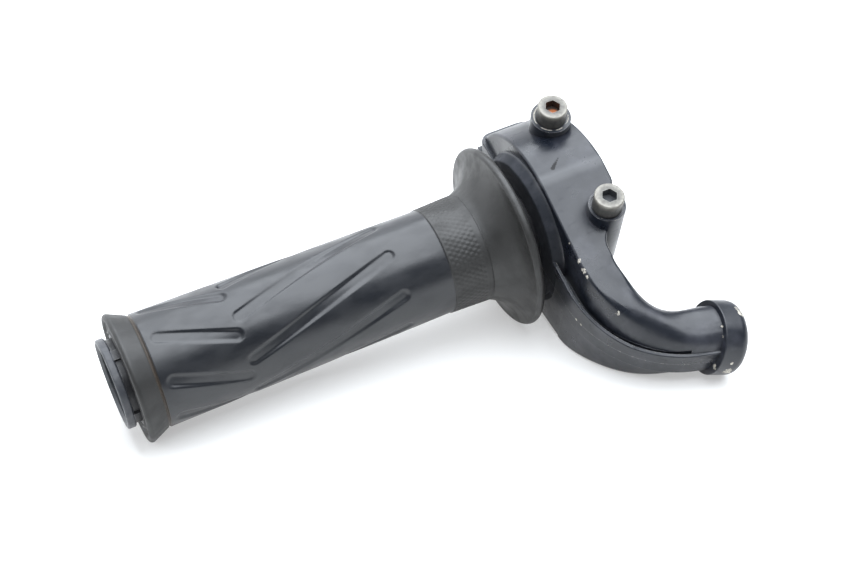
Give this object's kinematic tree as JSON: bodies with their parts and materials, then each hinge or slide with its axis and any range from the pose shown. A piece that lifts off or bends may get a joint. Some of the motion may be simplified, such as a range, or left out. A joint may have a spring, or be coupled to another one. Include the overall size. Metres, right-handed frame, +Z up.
{
  "type": "throttle grip",
  "caption": "Motorcycle twist throttle: ribbed rubber grip on a plastic sleeve that turns in a two-part clamp housing with a curved cable snout.",
  "frame": {"origin": "on the handlebar's axis, midway between the two clamp screws", "axes": "+X along the handlebar towards the middle of the vehicle, +Z up as the grip lies on a table, -Y towards the side that the cable snout is on"},
  "size_m": [0.1657, 0.0929, 0.0662],
  "materials": {
    "black_paint": "worn satin black paint on cast aluminium",
    "zinc_steel": "dull zinc plating with a little rust",
    "dowel_steel": "ground steel",
    "seat_brass": "machined brass",
    "white_nylon": "natural nylon",
    "grey_plastic": "dark grey glass-filled plastic",
    "black_rubber": "moulded rubber, polished by the hand"
  },
  "bodies": {
    "housing": {"housing_upper": "black_paint", "housing_lower": "black_paint", "snout_collar": "black_paint", "clamp_screw_front": "zinc_steel", "clamp_screw_rear": "zinc_steel", "locating_dowel_front": "dowel_steel", "locating_dowel_rear": "dowel_steel", "cable_seat": "seat_brass", "wire_liner": "white_nylon", "thrust_washer": "white_nylon"},
    "twist": {"throttle_sleeve": "grey_plastic", "rubber_grip": "black_rubber"}
  },
  "joints": [
    {"name": "throttle_twist", "type": "hinge", "parent": "housing", "child": "twist", "pos_m": [0, 0, 0], "axis": [-1, 0, 0], "range_deg": [0, 80]}
  ]
}
